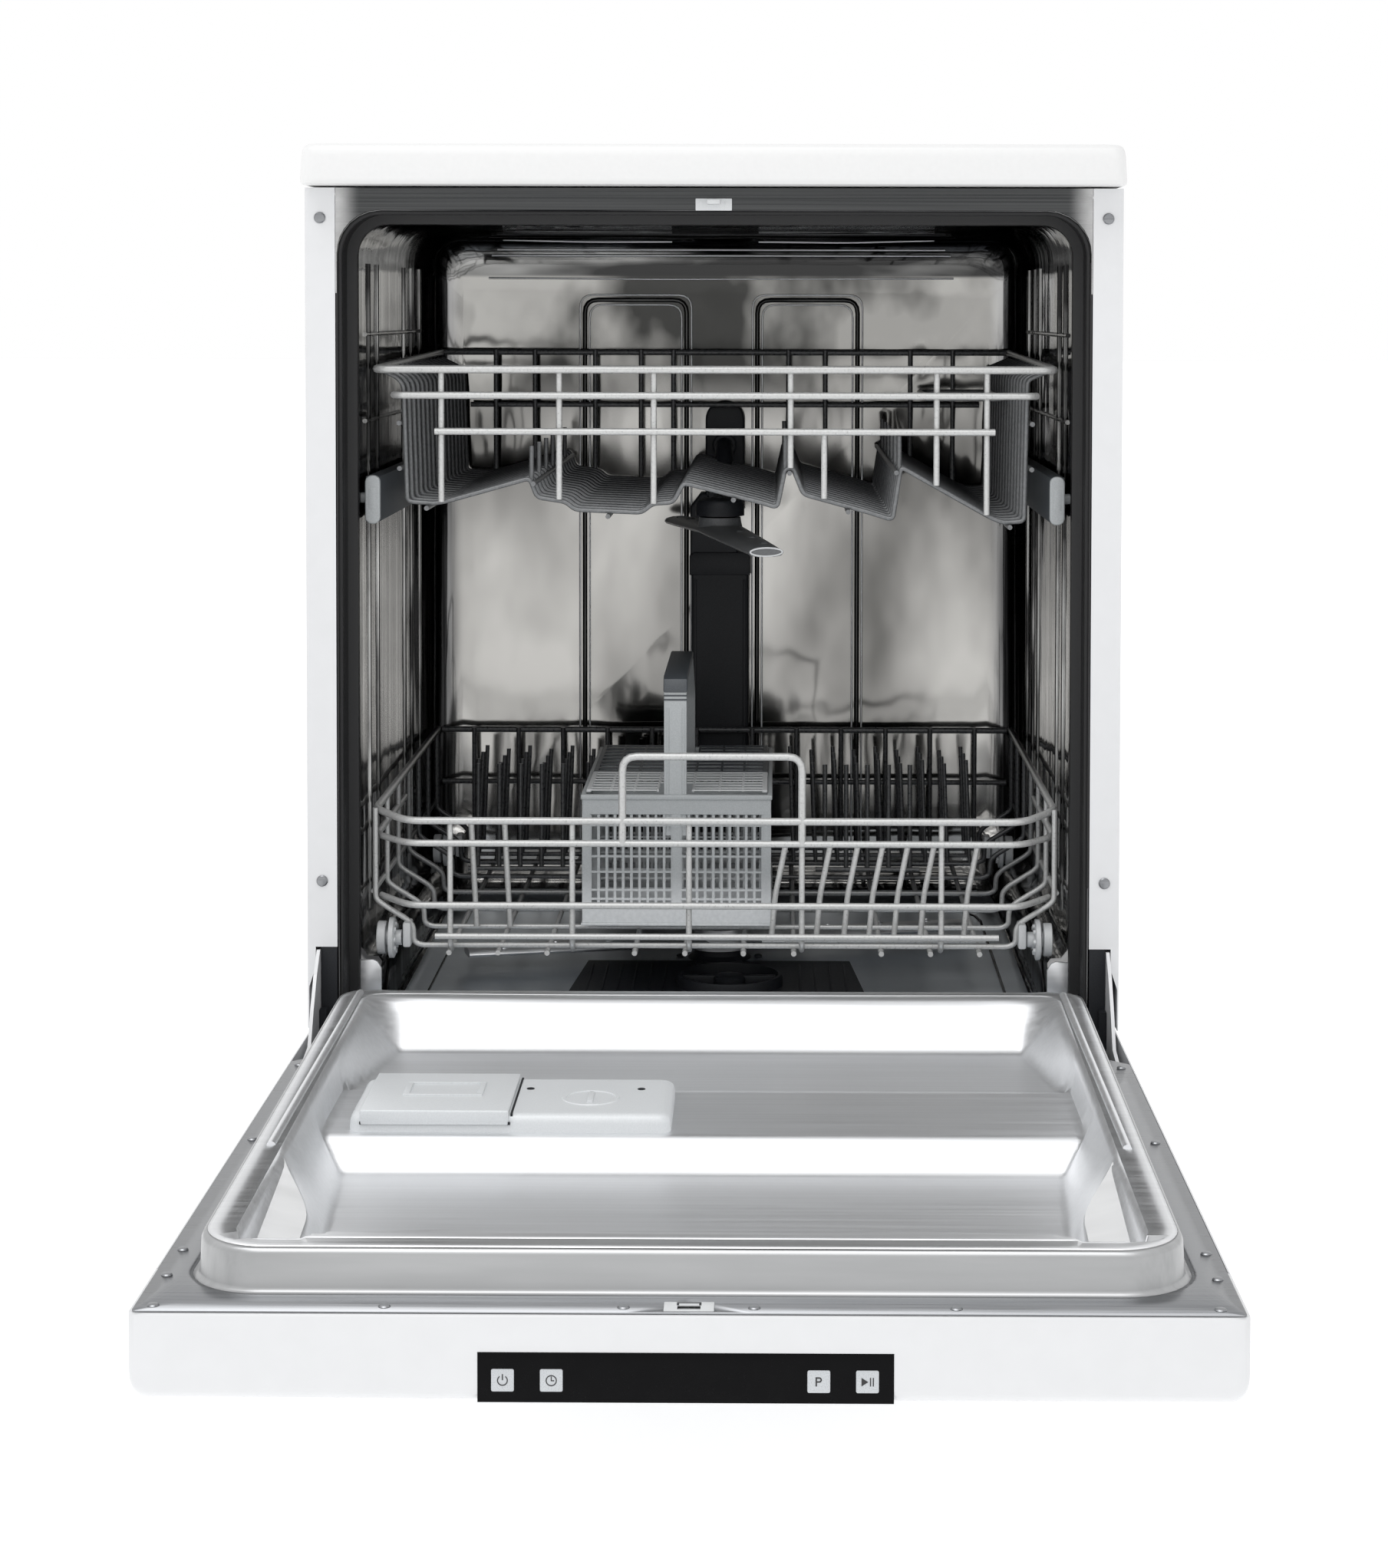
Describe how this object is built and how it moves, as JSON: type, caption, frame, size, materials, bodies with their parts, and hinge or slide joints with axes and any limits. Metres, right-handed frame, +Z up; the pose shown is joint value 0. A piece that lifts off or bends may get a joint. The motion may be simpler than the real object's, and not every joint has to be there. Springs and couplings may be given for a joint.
{
  "type": "dishwasher",
  "caption": "Household dishwasher with a drop-down door, sliding wire racks, rotating spray arms, a lidded cutlery basket and a detergent dispenser, shown open.",
  "frame": {"origin": "centre of the footprint of the whole machine with its door open, on the floor", "axes": "+X to the right of a user facing the machine, +Y from the open door into the cabinet, +Z up"},
  "size_m": [0.598, 1.1724, 0.845],
  "materials": {
    "back_panel": "satin stainless steel",
    "base_tray": "matt black",
    "basket_handle": "mid grey moulded plastic",
    "basket_lid_back": "dark grey moulded plastic",
    "basket_lid_front": "dark grey moulded plastic",
    "button_delay": "white enamel, low sheen",
    "button_power": "white enamel, low sheen",
    "button_program": "white enamel, low sheen",
    "button_start": "white enamel, low sheen",
    "circulation_pump": "mid grey moulded plastic",
    "control_console": "white enamel, low sheen",
    "counterweight": "rough cast block",
    "cup_shelf": "light grey nylon coating over steel wire",
    "cutlery_basket": "mid grey moulded plastic",
    "detergent_dispenser": "mid grey moulded plastic",
    "detergent_lid": "mid grey moulded plastic",
    "display_panel": "gloss black",
    "door_latch": "white enamel, low sheen",
    "door_liner": "satin stainless steel",
    "door_outer_panel": "white enamel, low sheen",
    "door_strike": "white enamel, low sheen",
    "filter_cup": "dark grey moulded plastic",
    "filter_plate": "matt black",
    "hinge_arm_left": "white enamel, low sheen",
    "hinge_arm_right": "white enamel, low sheen",
    "hinge_bracket_left": "matt black",
    "hinge_bracket_right": "matt black",
    "kick_plate": "white enamel, low sheen",
    "lower_rack_back": "light grey nylon coating over steel wire",
    "lower_rack_floor": "light grey nylon coating over steel wire",
    "lower_rack_front": "light grey nylon coating over steel wire",
    "lower_rack_pull": "light grey nylon coating over steel wire",
    "lower_rack_side_left": "light grey nylon coating over steel wire",
    "lower_rack_side_right": "light grey nylon coating over steel wire",
    "lower_spray_arm": "polished stainless steel",
    "rack_wheel_back_left": "mid grey moulded plastic",
    "rack_wheel_back_right": "mid grey moulded plastic",
    "rack_wheel_front_left": "mid grey moulded plastic",
    "rack_wheel_front_right": "mid grey moulded plastic",
    "rail_roller_left": "mid grey moulded plastic",
    "rail_roller_right": "mid grey moulded plastic",
    "rear_feed_duct": "dark grey moulded plastic",
    "rinse_aid_cap": "mid grey moulded plastic",
    "side_panel_left": "white enamel, low sheen",
    "side_panel_right": "white enamel, low sheen",
    "sump": "matt black",
    "tine_row_left": "light grey nylon coating over steel wire",
    "tine_row_right": "light grey nylon coating over steel wire",
    "tub": "polished stainless steel",
    "tub_seal": "matt black",
    "upper_rack_back": "light grey nylon coating over steel wire",
    "upper_rack_floor": "light grey nylon coating over steel wire",
    "upper_rack_front": "light grey nylon coating over steel wire",
    "upper_rack_side_left": "light grey nylon coating over steel wire",
    "upper_rack_side_right": "light grey nylon coating over steel wire",
    "upper_rail_left": "mid grey moulded plastic",
    "upper_rail_right": "mid grey moulded plastic",
    "upper_spray_arm": "dark grey moulded plastic",
    "upper_spray_feed": "dark grey moulded plastic",
    "worktop": "white enamel, low sheen"
  },
  "bodies": {
    "cabinet": {"worktop": "worktop", "side_panel_left": "side_panel_left", "hinge_bracket_left": "hinge_bracket_left", "side_panel_right": "side_panel_right", "hinge_bracket_right": "hinge_bracket_right", "back_panel": "back_panel", "base_tray": "base_tray", "kick_plate": "kick_plate", "counterweight": "counterweight", "tub": "tub", "tub_seal": "tub_seal", "door_strike": "door_strike", "sump": "sump", "filter_plate": "filter_plate", "rear_feed_duct": "rear_feed_duct", "circulation_pump": "circulation_pump"},
    "filter_cup": {"filter_cup": "filter_cup"},
    "lower_spray_arm": {"lower_spray_arm": "lower_spray_arm"},
    "upper_rack": {"upper_rack_floor": "upper_rack_floor", "upper_rack_side_left": "upper_rack_side_left", "upper_rack_side_right": "upper_rack_side_right", "upper_rack_front": "upper_rack_front", "upper_rack_back": "upper_rack_back", "upper_rail_left": "upper_rail_left", "upper_rail_right": "upper_rail_right", "upper_spray_feed": "upper_spray_feed"},
    "rail_roller_left": {"rail_roller_left": "rail_roller_left"},
    "rail_roller_right": {"rail_roller_right": "rail_roller_right"},
    "cup_shelf": {"cup_shelf": "cup_shelf"},
    "upper_spray_arm": {"upper_spray_arm": "upper_spray_arm"},
    "lower_rack": {"lower_rack_floor": "lower_rack_floor", "lower_rack_side_left": "lower_rack_side_left", "lower_rack_side_right": "lower_rack_side_right", "lower_rack_front": "lower_rack_front", "lower_rack_back": "lower_rack_back", "lower_rack_pull": "lower_rack_pull"},
    "rack_wheel_front_left": {"rack_wheel_front_left": "rack_wheel_front_left"},
    "rack_wheel_front_right": {"rack_wheel_front_right": "rack_wheel_front_right"},
    "rack_wheel_back_left": {"rack_wheel_back_left": "rack_wheel_back_left"},
    "rack_wheel_back_right": {"rack_wheel_back_right": "rack_wheel_back_right"},
    "tine_row_left": {"tine_row_left": "tine_row_left"},
    "tine_row_right": {"tine_row_right": "tine_row_right"},
    "cutlery_basket": {"cutlery_basket": "cutlery_basket", "basket_handle": "basket_handle"},
    "basket_lid_front": {"basket_lid_front": "basket_lid_front"},
    "basket_lid_back": {"basket_lid_back": "basket_lid_back"},
    "door": {"door_outer_panel": "door_outer_panel", "door_liner": "door_liner", "control_console": "control_console", "display_panel": "display_panel", "door_latch": "door_latch", "detergent_dispenser": "detergent_dispenser", "hinge_arm_left": "hinge_arm_left", "hinge_arm_right": "hinge_arm_right"},
    "detergent_lid": {"detergent_lid": "detergent_lid"},
    "rinse_aid_cap": {"rinse_aid_cap": "rinse_aid_cap"},
    "button_power": {"button_power": "button_power"},
    "button_delay": {"button_delay": "button_delay"},
    "button_program": {"button_program": "button_program"},
    "button_start": {"button_start": "button_start"}
  },
  "joints": [
    {"name": "door_hinge", "type": "hinge", "parent": "cabinet", "child": "door", "pos_m": [0, 0.0342, 0.192], "axis": [-1, 0, 0], "range_deg": [0, 90]},
    {"name": "dispenser_slide", "type": "slide", "parent": "door", "child": "detergent_lid", "axis": [0, -1, 0], "range_m": [-0.055, 0]},
    {"name": "rinse_cap_turn", "type": "hinge", "parent": "door", "child": "rinse_aid_cap", "pos_m": [-0.074, -0.2238, 0.211], "axis": [0, 0, 1], "range_deg": [-90, 0]},
    {"name": "button_power_press", "type": "slide", "parent": "door", "child": "button_power", "axis": [0, 1, 0], "range_m": [0, 0.0012], "stiffness_N_per_m": 800},
    {"name": "button_delay_press", "type": "slide", "parent": "door", "child": "button_delay", "axis": [0, 1, 0], "range_m": [0, 0.0012], "stiffness_N_per_m": 800},
    {"name": "button_program_press", "type": "slide", "parent": "door", "child": "button_program", "axis": [0, 1, 0], "range_m": [0, 0.0012], "stiffness_N_per_m": 800},
    {"name": "button_start_press", "type": "slide", "parent": "door", "child": "button_start", "axis": [0, 1, 0], "range_m": [0, 0.0012], "stiffness_N_per_m": 800},
    {"name": "upper_rack_slide", "type": "slide", "parent": "cabinet", "child": "upper_rack", "axis": [0, 1, 0], "range_m": [-0.4, 0]},
    {"name": "upper_arm_spin", "type": "hinge", "parent": "upper_rack", "child": "upper_spray_arm", "pos_m": [0, 0.3042, 0.545], "axis": [0, 0, 1], "continuous": true},
    {"name": "cup_shelf_fold", "type": "hinge", "parent": "upper_rack", "child": "cup_shelf", "pos_m": [0.229, 0.3412, 0.655], "axis": [0, -1, 0], "range_deg": [-85, 0]},
    {"name": "rail_roller_left_spin", "type": "hinge", "parent": "cabinet", "child": "rail_roller_left", "pos_m": [-0.258, 0.1022, 0.583], "axis": [1, 0, 0], "continuous": true},
    {"name": "rail_roller_right_spin", "type": "hinge", "parent": "cabinet", "child": "rail_roller_right", "pos_m": [0.258, 0.1022, 0.583], "axis": [1, 0, 0], "continuous": true},
    {"name": "lower_rack_slide", "type": "slide", "parent": "cabinet", "child": "lower_rack", "axis": [0, 1, 0], "range_m": [-0.4, 0]},
    {"name": "rack_wheel_front_left_spin", "type": "hinge", "parent": "lower_rack", "child": "rack_wheel_front_left", "pos_m": [-0.25, 0.0992, 0.249], "axis": [1, 0, 0], "continuous": true},
    {"name": "rack_wheel_front_right_spin", "type": "hinge", "parent": "lower_rack", "child": "rack_wheel_front_right", "pos_m": [0.25, 0.0992, 0.249], "axis": [1, 0, 0], "continuous": true},
    {"name": "rack_wheel_back_left_spin", "type": "hinge", "parent": "lower_rack", "child": "rack_wheel_back_left", "pos_m": [-0.25, 0.4762, 0.249], "axis": [1, 0, 0], "continuous": true},
    {"name": "rack_wheel_back_right_spin", "type": "hinge", "parent": "lower_rack", "child": "rack_wheel_back_right", "pos_m": [0.25, 0.4762, 0.249], "axis": [1, 0, 0], "continuous": true},
    {"name": "tine_row_left_fold", "type": "hinge", "parent": "lower_rack", "child": "tine_row_left", "pos_m": [-0.206, 0.3662, 0.252], "axis": [-1, 0, 0], "range_deg": [-85, 0]},
    {"name": "tine_row_right_fold", "type": "hinge", "parent": "lower_rack", "child": "tine_row_right", "pos_m": [0.088, 0.3662, 0.252], "axis": [-1, 0, 0], "range_deg": [-85, 0]},
    {"name": "basket_lift", "type": "slide", "parent": "lower_rack", "child": "cutlery_basket", "axis": [0, 0, -1], "range_m": [-0.045, 0]},
    {"name": "basket_lid_front_open", "type": "hinge", "parent": "cutlery_basket", "child": "basket_lid_front", "pos_m": [-0.03, 0.2332, 0.3562], "axis": [1, 0, 0], "range_deg": [-60, 0]},
    {"name": "basket_lid_back_open", "type": "hinge", "parent": "cutlery_basket", "child": "basket_lid_back", "pos_m": [-0.03, 0.2332, 0.3562], "axis": [-1, 0, 0], "range_deg": [-60, 0]},
    {"name": "lower_arm_spin", "type": "hinge", "parent": "cabinet", "child": "lower_spray_arm", "pos_m": [0, 0.3042, 0.203], "axis": [0, 0, 1], "continuous": true},
    {"name": "filter_cup_turn", "type": "hinge", "parent": "cabinet", "child": "filter_cup", "pos_m": [0.01, 0.2012, 0.19], "axis": [0, 0, 1], "range_deg": [-90, 0]}
  ],
  "couplings": [
    {"joint": "rack_wheel_front_left_spin", "follows": "lower_rack_slide", "rad_per_m": -80},
    {"joint": "rack_wheel_front_right_spin", "follows": "lower_rack_slide", "rad_per_m": -80},
    {"joint": "rack_wheel_back_left_spin", "follows": "lower_rack_slide", "rad_per_m": -80},
    {"joint": "rack_wheel_back_right_spin", "follows": "lower_rack_slide", "rad_per_m": -80},
    {"joint": "rail_roller_left_spin", "follows": "upper_rack_slide", "rad_per_m": -74.63},
    {"joint": "rail_roller_right_spin", "follows": "upper_rack_slide", "rad_per_m": -74.63}
  ]
}
